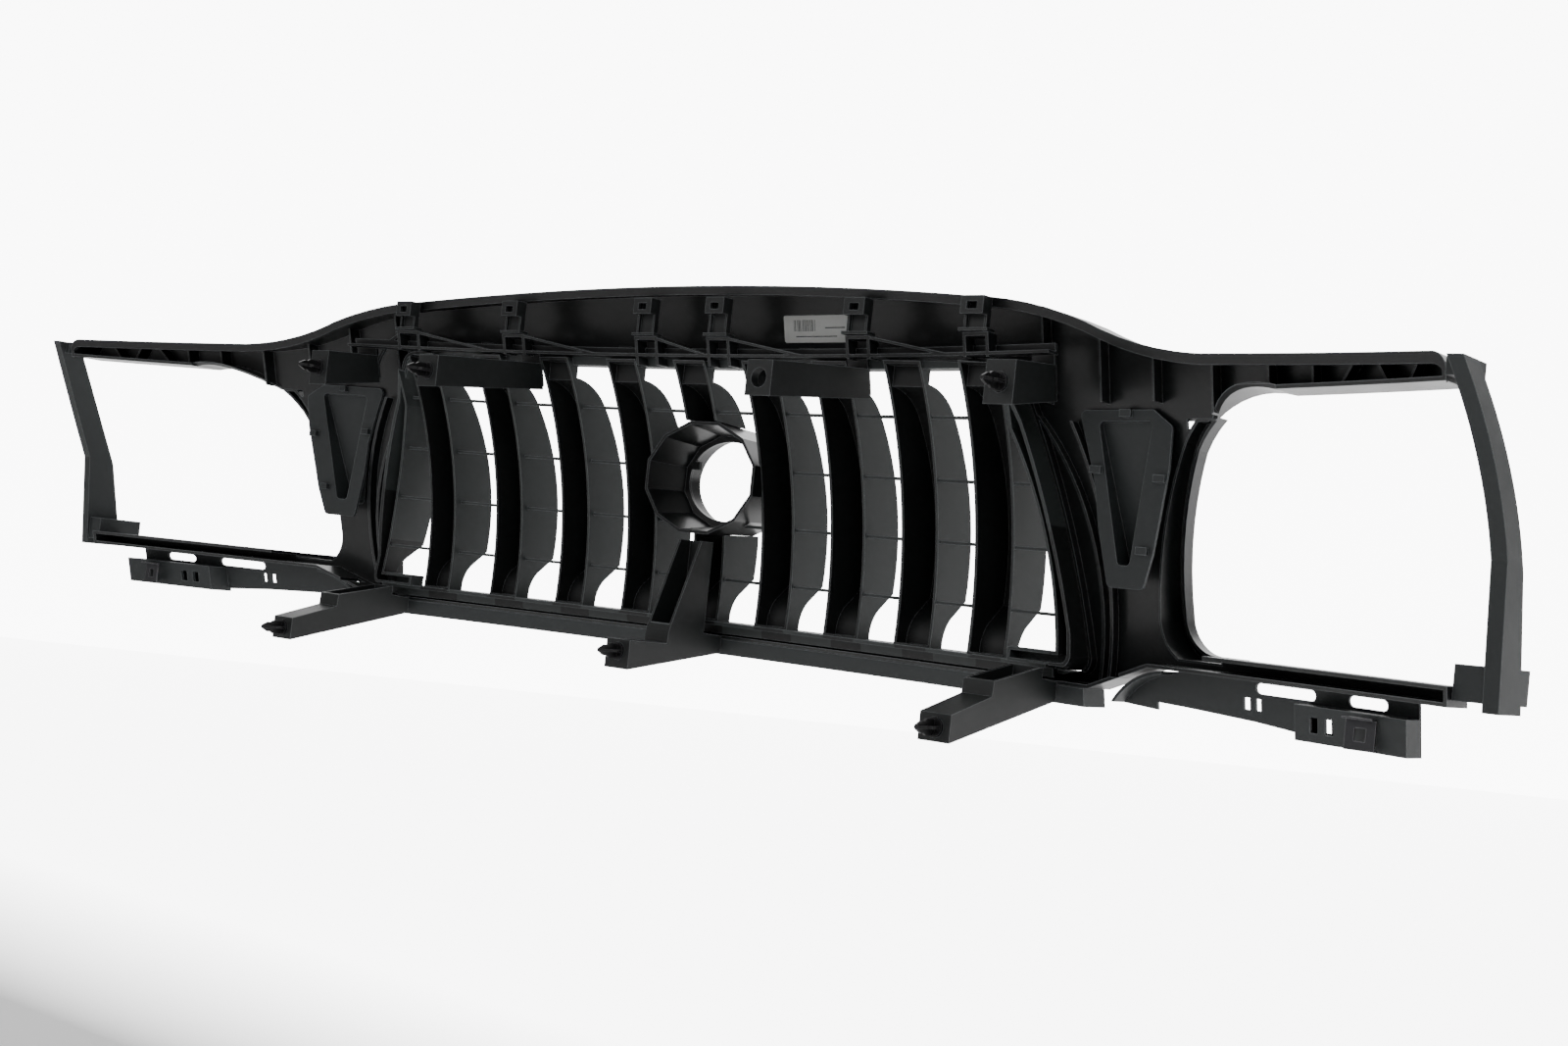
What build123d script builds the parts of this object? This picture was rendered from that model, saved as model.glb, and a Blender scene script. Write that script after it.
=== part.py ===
from build123d import *
import math
import os

os.makedirs("parts", exist_ok=True)

# Datum: X across the car, Y rearward, Z up. The origin is the rear pad of the centre lower arm.
AXIS_Y = -150.0  # emblem axis plane, ahead of the pad
AXIS_Z = 180.0  # emblem axis, above the pad
FRONT = Plane(origin=(0, AXIS_Y, AXIS_Z), x_dir=(1, 0, 0), z_dir=(0, -1, 0))

# Face surface: an arc in plan, leaning back towards the top
PLAN_R = 1880.0
RAKE = 0.264
FACE_Y = 24.0
TALL = 240.0

# Surround
HALF_W = 783.0
SPAN = HALF_W + 50
SKIN = 3.0
WALL = 3.0
RAIL_D = 37.0
LIP_H = 8.0
CREST_Z = 175.0
CREST_X = 340.0
CREST_END_Z = 158.0
WING_X = 570.0
WING_Z = 106.0
TIP_Z = 98.0
SILL_Z = -150.0
SILL_X = 446.0
LOW_Z = -127.0
LOW_X = 510.0

WING_WEBS = [397.0, 457.0, 511.0, 569.0, 622.0, 662.0]
WEB_D = 16.0
RIB_D = 12.0

# Cheek panel that stands further forward round the inner end of each headlamp aperture
CHEEK_RAKE = 0.42
CHEEK_Y = -10.0  # rear edge of its wall from the face, level with the emblem axis
CHEEK_D = 14.0
CHEEK_BAND = 14.0
SET_IN = 0.3  # the panel's edges stay this far inside the skin and the aperture line
RAMP_RAKE = 1.77  # slope of the flange's rear edge where it comes down to the panel
RAMP_FOOT = 62.5  # height at which that slope reaches the face

# Headlamp aperture
LAMP_TOP = 79.0
LAMP_BOT = -113.0
LAMP_TOP_X = 640.0
LAMP_MID_X = 544.0
LAMP_LOW_X = 515.0

# Grille aperture and slats
GRILLE_TOP = 114.0
GRILLE_BOT = -138.0
GRILLE_TOP_X = 366.0
GRILLE_BOT_X = 432.0
PITCH = 86.0
SLAT_W = 39.0
SLAT_T = 2.6
END_X = 405.0  # middle of the deep side wall at each end
END_W = 66.0
RIM_T = 3.4
END_RING = 14.0  # width of the half slat that stands inside the rim at each end
TIE_LEVELS = [62.0, 10.0, -42.0, -94.0]
TIE_T = 2.8
FIT = 0.6  # gap between snapped-in mouldings
GAP = 0.4  # gap between bolted or clipped pieces

TABS = [-291.0, -114.0, 114.0, 291.0]
TAB_REACH = 9.0

TIE_REAR = [68.0, 49.0, 37.5, 33.0]  # rear edge of each bar at the centre
TIE_HALF = [382.0, 401.0, 415.0, 425.5]  # reach into the rim on each side

# Emblem housing
CUP_A = 70.0
CUP_B = 55.0
HOLE_A = 49.0
HOLE_B = 38.5
CUP_REAR = 64.0
CUP_SEAT = 18.0
CUP_FRONT = -5.0
CUP_DRAFT_A = 5.0  # how much narrower and lower the cup is at its front
CUP_DRAFT_B = 4.0

# End posts
POST_OUT = HALF_W + 32
POST_W = 11.0
POST_LEAN = 17.0
POST_TOP = 94.0
POST_BOT = -128.0

# Arms and their sockets
ARM_W = 27.0
ARM_T = 2.5
SOCKET_R = 8.0
SOCKET_L = 9.0
PLATE_T = 3.0
UP_OUT_X = 414.0
UP_OUT_Y = 198.0
UP_IN_X = 204.0
UP_IN_Y = 234.0
LOW_ARM_X = 400.0
LOW_ARM_Y = 218.0
CLIP_GAP = 0.15
CLIP_LEN = 25.0

CLIP_Z = {-LOW_ARM_X: -188.0, 0: -168.0, LOW_ARM_X: -188.0}

# Carriers
UP_BAR_X = UP_OUT_X + ARM_W / 2
UP_BAR_Z = 109.0
SHELF_D = 14.0
GUSSET_RUN = 86.0
LOW_BAR_X = 442.0
LOW_BAR_H = 15.0

# Corner inserts
CORNER_RAKE = 0.12
CORNER_D = 14.5
POCKET_T = 2.5
CORNER_TABS = [(478, 68), (449, 24), (515, 18), (500, -38)]

# Lower brackets
BRACKET_FOLD = 650.0
BRACKET_END = 748.0
BRACKET_D = 33.0
SCOOP_X = 464.0

# Hook brackets
HOOK_H = 36.0
HOOKS = [-349.0, -214.0, -45.0, 45.0, 214.0, 349.0]
HOOK_W = 22.0


def sag(x):
    return PLAN_R - math.sqrt(PLAN_R**2 - x**2)


def face_y(x, z):
    return FACE_Y + sag(x) + RAKE * z


def level(z):
    return Plane(origin=(0, AXIS_Y, AXIS_Z + z))


def side(x):
    return Plane(origin=(x, AXIS_Y, AXIS_Z), x_dir=(0, 1, 0), z_dir=(1, 0, 0))


def push(outline, mode=Mode.ADD):
    with BuildSketch(FRONT) as placed:
        add(outline)
    extrude(placed.sketch, amount=420, both=True, mode=mode)


def plan_band(near, far, y_at, z, half=SPAN):
    rise = sag(half)
    y0, y1 = y_at + near, y_at + far
    with BuildSketch(level(z)) as band:
        with BuildLine():
            a = ThreePointArc((-half, y0 + rise), (0, y0), (half, y0 + rise))
            b = ThreePointArc((-half, y1 + rise), (0, y1), (half, y1 + rise))
            Line(a @ 0, b @ 0)
            Line(a @ 1, b @ 1)
        make_face()
    return band.sketch


def slab(near, far, mode=Mode.INTERSECT, rake=RAKE):
    band = plan_band(near, far, FACE_Y + rake * TALL, TALL)
    extrude(band, amount=2 * TALL * math.hypot(1, rake), dir=(0, -rake, -1), mode=mode)


def block(x0, x1, y0, y1, z0, z1, mode=Mode.ADD):
    with BuildSketch(level(z0)) as base:
        with Locations(((x0 + x1) / 2, (y0 + y1) / 2)):
            Rectangle(abs(x1 - x0), abs(y1 - y0))
    extrude(base.sketch, amount=z1 - z0, mode=mode)


def rod(x, z, y0, y1, r, mode=Mode.ADD):
    with BuildSketch(Plane(origin=(x, AXIS_Y + y1, AXIS_Z + z), x_dir=(1, 0, 0), z_dir=(0, -1, 0))) as disc:
        Circle(r)
    extrude(disc.sketch, amount=y1 - y0, mode=mode)


def slice_x(points, x0, x1, mode=Mode.ADD):
    with BuildSketch(side(x0)) as cut:
        with BuildLine():
            Polyline(*points, close=True)
        make_face()
    extrude(cut.sketch, amount=x1 - x0, mode=mode)


# Front-view outlines
with BuildSketch() as outer_line:
    with BuildLine():
        top = ThreePointArc((-CREST_X, CREST_END_Z), (0, CREST_Z), (CREST_X, CREST_END_Z))
        for s in (1, -1):
            knee = (s * 456.0, (CREST_END_Z + WING_Z) / 2 + 2)
            ThreePointArc((s * CREST_X, CREST_END_Z), (s * 402.0, 149.5), knee)
            ThreePointArc(knee, (s * 506.0, 116.5), (s * WING_X, WING_Z))
            Line((s * WING_X, WING_Z), (s * (HALF_W - 12), TIP_Z))
            end = (s * HALF_W, TIP_Z - 12)
            ThreePointArc((s * (HALF_W - 12), TIP_Z), (s * (HALF_W - 3.5), TIP_Z - 3.5), end)
            Line(end, (s * HALF_W, LOW_Z))
            Line((s * HALF_W, LOW_Z), (s * LOW_X, LOW_Z))
            Line((s * LOW_X, LOW_Z), (s * SILL_X, SILL_Z))
        Line((-SILL_X, SILL_Z), (SILL_X, SILL_Z))
    make_face()


def lamp_shape(g):
    """Headlamp aperture on the left side, grown by g."""
    with BuildSketch() as aperture:
        with BuildLine():
            a = Line((SPAN, LAMP_TOP + g), (LAMP_TOP_X, LAMP_TOP + g))
            crown = (LAMP_MID_X + 31 - 0.6 * g, LAMP_TOP - 9 + 0.8 * g)
            b = ThreePointArc(a @ 1, crown, (LAMP_MID_X - 0.85 * g, LAMP_TOP - 38 + 0.5 * g))
            c = ThreePointArc(b @ 1, (LAMP_LOW_X + 6 - g, LAMP_TOP - 104), (LAMP_LOW_X - g, LAMP_BOT + 28))
            heel = (LAMP_LOW_X + 7 - 0.7 * g, LAMP_BOT + 8 - 0.7 * g)
            d = ThreePointArc(c @ 1, heel, (LAMP_LOW_X + 27, LAMP_BOT - g))
            Line(d @ 1, (SPAN, LAMP_BOT - g))
            Line((SPAN, LAMP_BOT - g), (SPAN, LAMP_TOP + g))
        make_face()
    return aperture.sketch


with BuildSketch() as grille_line:
    with BuildLine():
        x, z = GRILLE_TOP_X - 10, GRILLE_TOP - 9
        a = ThreePointArc((-x, z), (0, GRILLE_TOP), (x, z))
        for s in (1, -1):
            q = (s * (GRILLE_TOP_X + 4), GRILLE_TOP - 20)
            r = (s * GRILLE_BOT_X, GRILLE_BOT + 12)
            t = (s * (GRILLE_BOT_X - 13), GRILLE_BOT)
            ThreePointArc((s * x, z), (s * (GRILLE_TOP_X - 1), GRILLE_TOP - 12.5), q)
            ThreePointArc(q, (s * 409, -10), r)
            ThreePointArc(r, (s * (GRILLE_BOT_X - 4), GRILLE_BOT + 3.5), t)
        Line((-GRILLE_BOT_X + 13, GRILLE_BOT), (GRILLE_BOT_X - 13, GRILLE_BOT))
    make_face()

with BuildSketch() as shell_line:
    add(outer_line.sketch)
    add(lamp_shape(0), mode=Mode.SUBTRACT)
    add(lamp_shape(0).mirror(Plane.YZ), mode=Mode.SUBTRACT)
    add(grille_line.sketch, mode=Mode.SUBTRACT)

with BuildSketch() as flange_line:
    add(shell_line.sketch)
    offset(shell_line.sketch, amount=-WALL, kind=Kind.INTERSECTION, mode=Mode.SUBTRACT)

with BuildSketch() as lip_line:
    add(outer_line.sketch)
    add(Pos(0, -LIP_H) * outer_line.sketch, mode=Mode.SUBTRACT)
    with Locations((0, -60)):
        Rectangle(2 * SPAN, 240, mode=Mode.SUBTRACT)


def corner_outline(grow):
    """Rounded triangle of the corner insert's pocket, grown by grow."""
    with BuildSketch() as pocket:
        with BuildLine():
            Polyline(
                (449 - grow, 62 + grow), (505 + grow, 62 + grow), (486 + grow * 0.6, -50 - grow),
                (474 - grow * 0.6, -50 - grow), close=True,
            )
        make_face()
        fillet(pocket.vertices(), radius=4 + grow * 0.25)
    return pocket.sketch


CHEEK_LOW = LAMP_BOT - 8
CHEEK_HIGH = LAMP_TOP - 14
CHEEK_REACH = LAMP_LOW_X + 52


def cheek_outline(grow, inset, hole):
    """Band of width grow round the inner end of the aperture, from hole outward."""
    with BuildSketch() as around:
        add(lamp_shape(grow))
        if hole:
            add(lamp_shape(hole), mode=Mode.SUBTRACT)
        with Locations((CHEEK_REACH / 2, (CHEEK_HIGH + CHEEK_LOW) / 2)):
            Rectangle(CHEEK_REACH - 2 * inset, CHEEK_HIGH - CHEEK_LOW - 2 * inset, mode=Mode.INTERSECT)
    return around.sketch


with BuildSketch() as skin_cuts:
    add(corner_outline(POCKET_T + FIT))
    add(cheek_outline(CHEEK_BAND - WALL / 2, WALL / 2, 0))
    add(skin_cuts.sketch.mirror(Plane.YZ))

# Surround moulding
with BuildPart() as shell_skin:
    push(shell_line.sketch)
    push(skin_cuts.sketch, mode=Mode.SUBTRACT)
    slab(0, SKIN)

with BuildPart() as shell_flange:
    push(flange_line.sketch)
    push(skin_cuts.sketch, mode=Mode.SUBTRACT)
    slab(0, RAIL_D)

with BuildPart() as flange_relief:
    for s in (1, -1):
        block(s * 375, s * 480, -60, 260, GRILLE_BOT, GRILLE_TOP - 22)
    slab(RIB_D, RAIL_D + 2)

# The flange falls away round the top inner corner of each headlamp aperture
with BuildPart() as flange_ramp:
    for s in (1, -1):
        block(s * (LAMP_MID_X - 8), s * LAMP_TOP_X, -60, 400, CHEEK_HIGH - 8, LAMP_TOP + 4)
    slab(-RAMP_RAKE * RAMP_FOOT, 400, rake=RAKE + RAMP_RAKE)

with BuildPart() as shell_lip:
    push(lip_line.sketch)
    slab(RAIL_D - 3, RAIL_D)

# Forward panel round the inner end of a headlamp aperture: floor, short outer wall and step up to the skin
with BuildPart() as cheek_solid:
    push(cheek_outline(CHEEK_BAND, 0, SET_IN))
    slab(CHEEK_Y - CHEEK_D, 200, rake=CHEEK_RAKE)
    slab(-200, SKIN - SET_IN)

with BuildPart() as cheek_hollow:
    push(cheek_outline(CHEEK_BAND - WALL, WALL, WALL))
    slab(CHEEK_Y - CHEEK_D + SKIN, 200, rake=CHEEK_RAKE)

with BuildPart() as cheek_lowered:
    push(cheek_outline(WALL + 1, WALL - 1, 0))
    slab(CHEEK_Y, 200, rake=CHEEK_RAKE)

with BuildPart() as cheek:
    add(cheek_solid.part)
    add(cheek_hollow.part, mode=Mode.SUBTRACT)
    add(cheek_lowered.part, mode=Mode.SUBTRACT)

# Webs across the wing channel, and the long ribs beside the grille
with BuildSketch() as web_line:
    for s in (1, -1):
        for x in WING_WEBS:
            low = 76 if x < 540 else 50
            with Locations((s * x, (low + 160) / 2)):
                Rectangle(1.8, 160 - low)
        for x, lean in ((692, 38), (722, -32), (748, 30)):
            with Locations((s * x, 90)):
                Rectangle(1.8, 60, rotation=-s * lean)

with BuildPart() as shell_webs:
    push(web_line.sketch)
    push(shell_line.sketch, mode=Mode.INTERSECT)
    push(skin_cuts.sketch, mode=Mode.SUBTRACT)
    slab(1, WEB_D)

with BuildSketch() as rib_line:
    inner = ((384, 66), (434, -14), (441, SILL_Z + 2))
    outer = ((420, 62), (453, -34), (451, SILL_Z + 8))
    for s in (1, -1):
        for path in (inner, outer):
            with BuildLine():
                a = ThreePointArc(*[(s * x, z) for x, z in path])
                b = ThreePointArc(*[(s * (x + 3), z) for x, z in path])
                Line(a @ 0, b @ 0)
                Line(a @ 1, b @ 1)
            make_face()
    add(grille_line.sketch, mode=Mode.SUBTRACT)

with BuildPart() as cheek_ribs:
    push(rib_line.sketch)
    push(shell_line.sketch, mode=Mode.INTERSECT)
    slab(1, RIB_D)

# The sill lip is kept short so that the insert's tabs can hook behind it
with BuildPart() as sill_room:
    block(-415, 415, -60, 160, GRILLE_BOT - 6, GRILLE_BOT + 3)
    slab(TAB_REACH, RAIL_D + 2)

with BuildPart() as surround_shell:
    add(shell_skin.part)
    add(shell_flange.part)
    add(flange_relief.part, mode=Mode.SUBTRACT)
    add(flange_ramp.part, mode=Mode.SUBTRACT)
    add(shell_lip.part)
    add(shell_webs.part)
    add(cheek_ribs.part)
    add(cheek.part)
    add(mirror(cheek.part, about=Plane.YZ, mode=Mode.PRIVATE))
    add(sill_room.part, mode=Mode.SUBTRACT)
    for x in TABS:
        block(x - 9, x + 9, face_y(x, 116) + 4, face_y(x, 116) + 14, 104, 124, mode=Mode.SUBTRACT)
surround_shell.part.label = "surround_shell"
export_step(surround_shell.part, "parts/surround_shell.step")


def oval(a, b, y):
    with BuildSketch(Plane(origin=(0, AXIS_Y + y, AXIS_Z), x_dir=(1, 0, 0), z_dir=(0, -1, 0))) as ring:
        Ellipse(a, b)
    return ring.sketch


def facets(a, b, y):
    """Twelve-sided outline inside an oval of half-widths a and b."""
    turns = [math.radians(15 + 30 * k) for k in range(12)]
    with BuildSketch(Plane(origin=(0, AXIS_Y + y, AXIS_Z), x_dir=(1, 0, 0), z_dir=(0, -1, 0))) as ring:
        with BuildLine():
            Polyline(*[(a * math.cos(t), b * math.sin(t)) for t in turns], close=True)
        make_face()
    return ring.sketch


# Grille insert: hollow slats open to the rear, tie bars, rim and shelf
def slat_profile(x, inset, rear, width=SLAT_W, mode=Mode.ADD):
    """Side outline of a slat; inset shrinks it, rear pushes its back edge out for the hollow."""
    dy = sag(x)
    with BuildSketch(side(x - width / 2 + inset)) as profile:
        with BuildLine():
            if rear:
                back = Line((150 + dy, 107 - inset), (150 + dy, -135 + inset))
            else:
                back = ThreePointArc((96 + dy, 107), (50 + dy, -2), (38 + dy, -135))
            low = Line(back @ 1, (20 + inset + dy, -135 + inset))
            toe = ThreePointArc(low @ 1, (15 + inset + dy, -113), (6 + inset + dy, -104))
            step = Line(toe @ 1, (-10 + inset + dy, -91))
            face = ThreePointArc(step @ 1, (-6 + inset + dy, -22), (37 + inset + dy, 68))
            brow = ThreePointArc(face @ 1, (54 + inset + dy, 82 - inset / 2), (79 + inset + dy, 89 - inset))
            nose = Line(brow @ 1, (79 + inset + dy, 107 - inset))
            Line(nose @ 1, back @ 0)
        make_face()
    extrude(profile.sketch, amount=width - 2 * inset, mode=mode)


with BuildSketch() as rim_line:
    offset(grille_line.sketch, amount=-FIT, kind=Kind.INTERSECTION)
    offset(grille_line.sketch, amount=-FIT - RIM_T, kind=Kind.INTERSECTION, mode=Mode.SUBTRACT)

with BuildSketch() as end_line:
    offset(grille_line.sketch, amount=-FIT, kind=Kind.INTERSECTION)
    offset(grille_line.sketch, amount=-FIT - END_RING, kind=Kind.INTERSECTION, mode=Mode.SUBTRACT)

with BuildSketch() as end_room:
    offset(grille_line.sketch, amount=-FIT - RIM_T, kind=Kind.INTERSECTION)
    offset(grille_line.sketch, amount=-FIT - END_RING + SLAT_T, kind=Kind.INTERSECTION, mode=Mode.SUBTRACT)

with BuildSketch() as rim_clear:
    offset(grille_line.sketch, amount=-FIT, kind=Kind.INTERSECTION)

with BuildSketch() as shell_room:
    offset(grille_line.sketch, amount=-FIT, kind=Kind.INTERSECTION)
    for x in TABS:
        with Locations((x, 114), (x, -141)):
            Rectangle(14, 24)

with BuildPart() as insert_rim:
    push(rim_line.sketch)
    slab(4, 36)

with BuildPart() as insert_shelf:
    block(-412, 412, -60, 160, GRILLE_BOT + FIT, GRILLE_BOT + 4)
    slab(4, 52)

with BuildPart() as insert_bridge:
    push(rim_clear.sketch)
    block(-352, 352, -60, 160, 101, 112, mode=Mode.INTERSECT)
    slab(20, RAIL_D)

with BuildPart() as insert_tabs:
    for x in TABS:
        block(x - 7, x + 7, -60, 160, GRILLE_BOT - 9, GRILLE_BOT + 4)
    slab(TAB_REACH + GAP, TAB_REACH + 3.4)

with BuildPart() as insert_ends:
    for s in (1, -1):
        slat_profile(s * END_X, 0, False, END_W)
    push(end_line.sketch, mode=Mode.INTERSECT)

with BuildPart() as end_hollows:
    for s in (1, -1):
        slat_profile(s * END_X, SLAT_T, True, END_W)
    push(end_room.sketch, mode=Mode.INTERSECT)

with BuildPart() as insert_band:
    block(-412, 412, -80, 160, GRILLE_BOT - 7, GRILLE_BOT + 4)
    slab(RAIL_D + 1, RAIL_D + 4)

# Room for the emblem housing, tapered as its wall is
with BuildPart() as cup_room:
    rear_room = facets(CUP_A + FIT + GAP, CUP_B + FIT + GAP, CUP_REAR)
    front_room = facets(CUP_A - CUP_DRAFT_A + FIT + GAP, CUP_B - CUP_DRAFT_B + FIT + GAP, CUP_FRONT)
    loft([rear_room.face(), front_room.face()])
    extrude(rear_room, amount=-140)
    extrude(front_room, amount=60)

with BuildPart() as grille_insert:
    add(insert_rim.part)
    add(insert_shelf.part)
    add(insert_bridge.part)
    add(insert_tabs.part)
    for x in TABS:
        y = face_y(x, 116)
        block(x - 7, x + 7, y + 5, y + 8, 106, 122)
        block(x - 7, x + 7, y + 5, y + 10.5, 119.5, 122)
    for i in range(-4, 5):
        slat_profile(i * PITCH, 0, False)
    add(insert_ends.part)
    for z, y, half in zip(TIE_LEVELS, TIE_REAR, TIE_HALF):
        bar = plan_band(y - TIE_T, y, 0, z - TIE_T / 2, half)
        extrude(bar, amount=TIE_T)
    for i in range(-4, 5):
        slat_profile(i * PITCH, SLAT_T, True, mode=Mode.SUBTRACT)
    add(end_hollows.part, mode=Mode.SUBTRACT)
    add(cup_room.part, mode=Mode.SUBTRACT)
    push(shell_room.sketch, mode=Mode.INTERSECT)
    add(insert_band.part)
grille_insert.part.label = "grille_insert"
export_step(grille_insert.part, "parts/grille_insert.step")


# Emblem housing: a faceted cup with a seat ring round its through hole
with BuildPart() as emblem_housing:
    nose_line = facets(CUP_A - CUP_DRAFT_A, CUP_B - CUP_DRAFT_B, CUP_FRONT)
    loft([facets(CUP_A, CUP_B, CUP_REAR).face(), nose_line.face()])
    mouth = facets(CUP_A - 3, CUP_B - 3, CUP_REAR + 1)
    loft([mouth.face(), facets(HOLE_A + 7, HOLE_B + 7, CUP_SEAT + 3).face()], mode=Mode.SUBTRACT)
    extrude(oval(HOLE_A, HOLE_B, CUP_REAR + 5), amount=100, mode=Mode.SUBTRACT)
    extrude(oval(CUP_A - 12, CUP_B - 11, CUP_SEAT), amount=60, mode=Mode.SUBTRACT)
    for x, z in ((HOLE_A - 6, 14), (-HOLE_A + 14, -28)):
        block(x - 5, x + 7, CUP_SEAT, CUP_SEAT + 3, z - 4, z + 4)
emblem_housing.part.label = "emblem_housing"
export_step(emblem_housing.part, "parts/emblem_housing.step")


# Corner inserts: plates whose pocket floor closes the opening in the cheek
with BuildSketch() as corner_plate:
    with BuildLine():
        Polyline(
            (428, 71), (505, 71), (525, 58), (523, 26), (510, -40), (501, -68), (464, -68), (452, -20),
            (447, 14), close=True,
        )
    make_face()
    fillet(corner_plate.vertices(), radius=5)
with BuildPart() as corner_pocket:
    push(corner_outline(POCKET_T))
    slab(0, 200)
    slab(-200, CORNER_D + 2, rake=CORNER_RAKE)
with BuildPart() as corner_hollow:
    push(corner_outline(0))
    slab(POCKET_T, 200)
with BuildPart() as corner_insert_left:
    push(corner_plate.sketch)
    slab(CORNER_D, CORNER_D + POCKET_T, rake=CORNER_RAKE)
    add(corner_pocket.part)
    add(corner_hollow.part, mode=Mode.SUBTRACT)
    for x, z in CORNER_TABS:
        y = FACE_Y + sag(x) + CORNER_RAKE * z + CORNER_D + 1.5
        block(x - 5, x + 5, y, y + 5, z - 3, z + 3)
corner_insert_left.part.label = "corner_insert_left"
export_step(corner_insert_left.part, "parts/corner_insert_left.step")

with BuildPart() as corner_insert_right:
    add(mirror(corner_insert_left.part, about=Plane.YZ, mode=Mode.PRIVATE))
corner_insert_right.part.label = "corner_insert_right"
export_step(corner_insert_right.part, "parts/corner_insert_right.step")

# End posts: bowed strips, hollow from the front, that close the outer side of each headlamp aperture
def post_side(shift, mode=Mode.ADD):
    """Side outline: bows rearward towards the top; shift moves it forward for the hollow."""
    y = face_y(HALF_W, 0) - shift
    with BuildSketch(side(HALF_W - 20)) as bowed:
        with BuildLine():
            a = ThreePointArc((y + 73, POST_TOP), (y + 36, 28), (y + 8, -30))
            Line(a @ 1, (y - 1, POST_BOT))
            Line((y - 1, POST_BOT), (y - 43, POST_BOT))
            b = ThreePointArc((y + 47, POST_TOP), (y + 9, 30), (y - 23, -35))
            Line(b @ 1, (y - 43, POST_BOT))
            Line(a @ 0, b @ 0)
        make_face()
    extrude(bowed.sketch, amount=POST_OUT - HALF_W + 40, mode=mode)


def post_front(inset, mode=Mode.INTERSECT):
    """Front outline: leans outward on its way down."""
    x0, x1 = POST_OUT - POST_W + inset, POST_OUT - inset
    with BuildSketch() as leaning:
        with BuildLine():
            a = ThreePointArc((x0 - POST_LEAN, POST_TOP + 1), (x0 - 5, 40), (x0, -20))
            b = ThreePointArc((x1 - POST_LEAN, POST_TOP + 1), (x1 - 5, 40), (x1, -20))
            Line(a @ 1, (x0, POST_BOT - 1))
            Line(b @ 1, (x1, POST_BOT - 1))
            Line((x0, POST_BOT - 1), (x1, POST_BOT - 1))
            Line(a @ 0, b @ 0)
        make_face()
    push(leaning.sketch, mode=mode)


with BuildPart() as post_hollow:
    post_side(3)
    post_front(2.5)
    block(HALF_W - 20, POST_OUT + 20, 0, 420, POST_BOT + 30, POST_TOP - 6, mode=Mode.INTERSECT)
with BuildPart() as end_post_left:
    post_side(0)
    post_front(0)
    add(post_hollow.part, mode=Mode.SUBTRACT)
    y = face_y(HALF_W, POST_TOP)
    block(HALF_W + GAP, POST_OUT - POST_LEAN, y + 6, y + RAIL_D, POST_TOP - 12, POST_TOP)
    y = face_y(HALF_W, POST_BOT)
    block(HALF_W + GAP, POST_OUT, y - 20, y + RAIL_D - 5, POST_BOT + 6, POST_BOT + 30)
end_post_left.part.label = "end_post_left"
export_step(end_post_left.part, "parts/end_post_left.step")

with BuildPart() as end_post_right:
    add(mirror(end_post_left.part, about=Plane.YZ, mode=Mode.PRIVATE))
end_post_right.part.label = "end_post_right"
export_step(end_post_right.part, "parts/end_post_right.step")

# Lower brackets under the headlamp apertures
with BuildSketch() as bracket_line:
    with BuildLine():
        scoop = ThreePointArc((518, LOW_Z - 1.5), (484, LOW_Z - 13), (SCOOP_X, LOW_Z - 31))
        Polyline(
            scoop @ 1, (SCOOP_X + 38, LOW_Z - 33), (SCOOP_X + 38, LOW_Z - 27), (534, LOW_Z - 28),
            (600, LOW_Z - 31), (BRACKET_FOLD, LOW_Z - 35), (BRACKET_END, LOW_Z - 38),
            (BRACKET_END, LOW_Z - GAP), (530, LOW_Z - GAP), scoop @ 0,
        )
    make_face()
    for x, w in ((629, 56), (704, 34)):
        with Locations((x, LOW_Z - 5.5)):
            SlotOverall(w, 8, mode=Mode.SUBTRACT)
    for x, w in ((592, 6), (603, 5)):
        with Locations((x, LOW_Z - 18)):
            Rectangle(w, 9, mode=Mode.SUBTRACT)

with BuildSketch() as scoop_line:
    with BuildLine():
        a = ThreePointArc((518, LOW_Z - 1.5), (484, LOW_Z - 13), (SCOOP_X, LOW_Z - 31))
        b = ThreePointArc((518, LOW_Z - 4), (486, LOW_Z - 15), (SCOOP_X + 3.5, LOW_Z - 31))
        Line(a @ 0, b @ 0)
        Line(a @ 1, b @ 1)
    make_face()

with BuildPart() as bracket_scoop:
    push(scoop_line.sketch)
    slab(6, BRACKET_D - 6)
with BuildPart() as bracket_plate:
    push(bracket_line.sketch)
    slab(6, 9)
with BuildPart() as bracket_box:
    block(BRACKET_FOLD, BRACKET_END, 60, 300, LOW_Z - 38, LOW_Z - 12)
    slab(6, BRACKET_D)
with BuildPart() as bracket_inside:
    block(BRACKET_FOLD + 3, BRACKET_END - 3, 60, 300, LOW_Z - 35, LOW_Z - 15)
    slab(9, BRACKET_D - 3)
with BuildPart() as lower_bracket_left:
    add(bracket_plate.part)
    add(bracket_box.part)
    add(bracket_inside.part, mode=Mode.SUBTRACT)
    add(bracket_scoop.part)
    for x in (664, 678):
        block(x, x + 7, 100, 300, LOW_Z - 31, LOW_Z - 20, mode=Mode.SUBTRACT)
lower_bracket_left.part.label = "lower_bracket_left"
export_step(lower_bracket_left.part, "parts/lower_bracket_left.step")

with BuildPart() as lower_bracket_right:
    add(mirror(lower_bracket_left.part, about=Plane.YZ, mode=Mode.PRIVATE))
lower_bracket_right.part.label = "lower_bracket_right"
export_step(lower_bracket_right.part, "parts/lower_bracket_right.step")

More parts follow.
